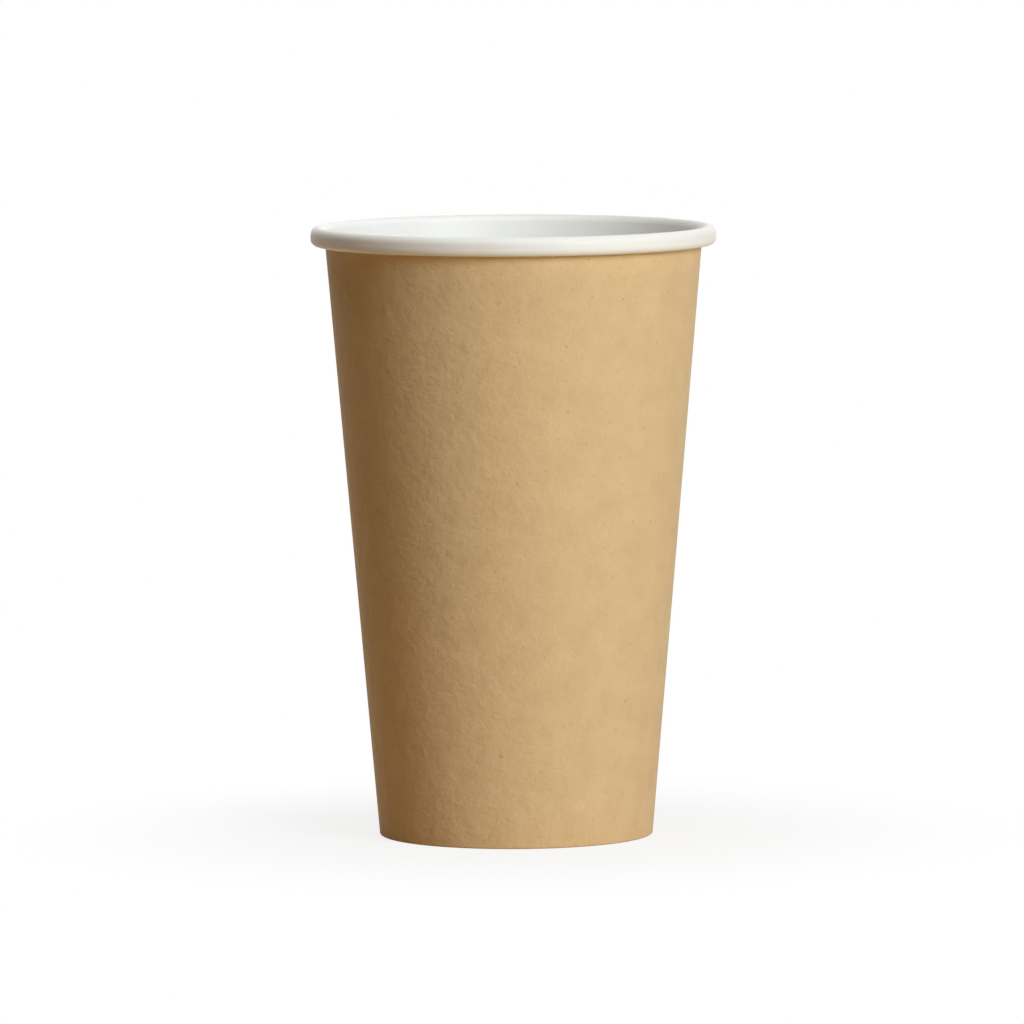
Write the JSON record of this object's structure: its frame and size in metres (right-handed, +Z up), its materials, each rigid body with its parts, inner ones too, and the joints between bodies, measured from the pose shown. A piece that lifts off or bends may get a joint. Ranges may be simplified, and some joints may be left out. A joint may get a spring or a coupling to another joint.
{
  "type": "paper coffee cup",
  "caption": "Single-wall paper cup for hot drinks, kraft brown outside and white inside, tapered, with a rolled rim, a lapped side seam and a recessed bottom.",
  "frame": {"origin": "middle of the ring the cup stands on, at table height", "axes": "+Z up along the cup's axis, +X to the right and -Y towards the viewer in the picture"},
  "size_m": [0.09, 0.09, 0.1355],
  "materials": {
    "kraft_board": "matte",
    "white_board": "satin"
  },
  "bodies": {
    "root": {"side_wall": "kraft_board", "cup_bottom": "white_board"}
  },
  "joints": []
}
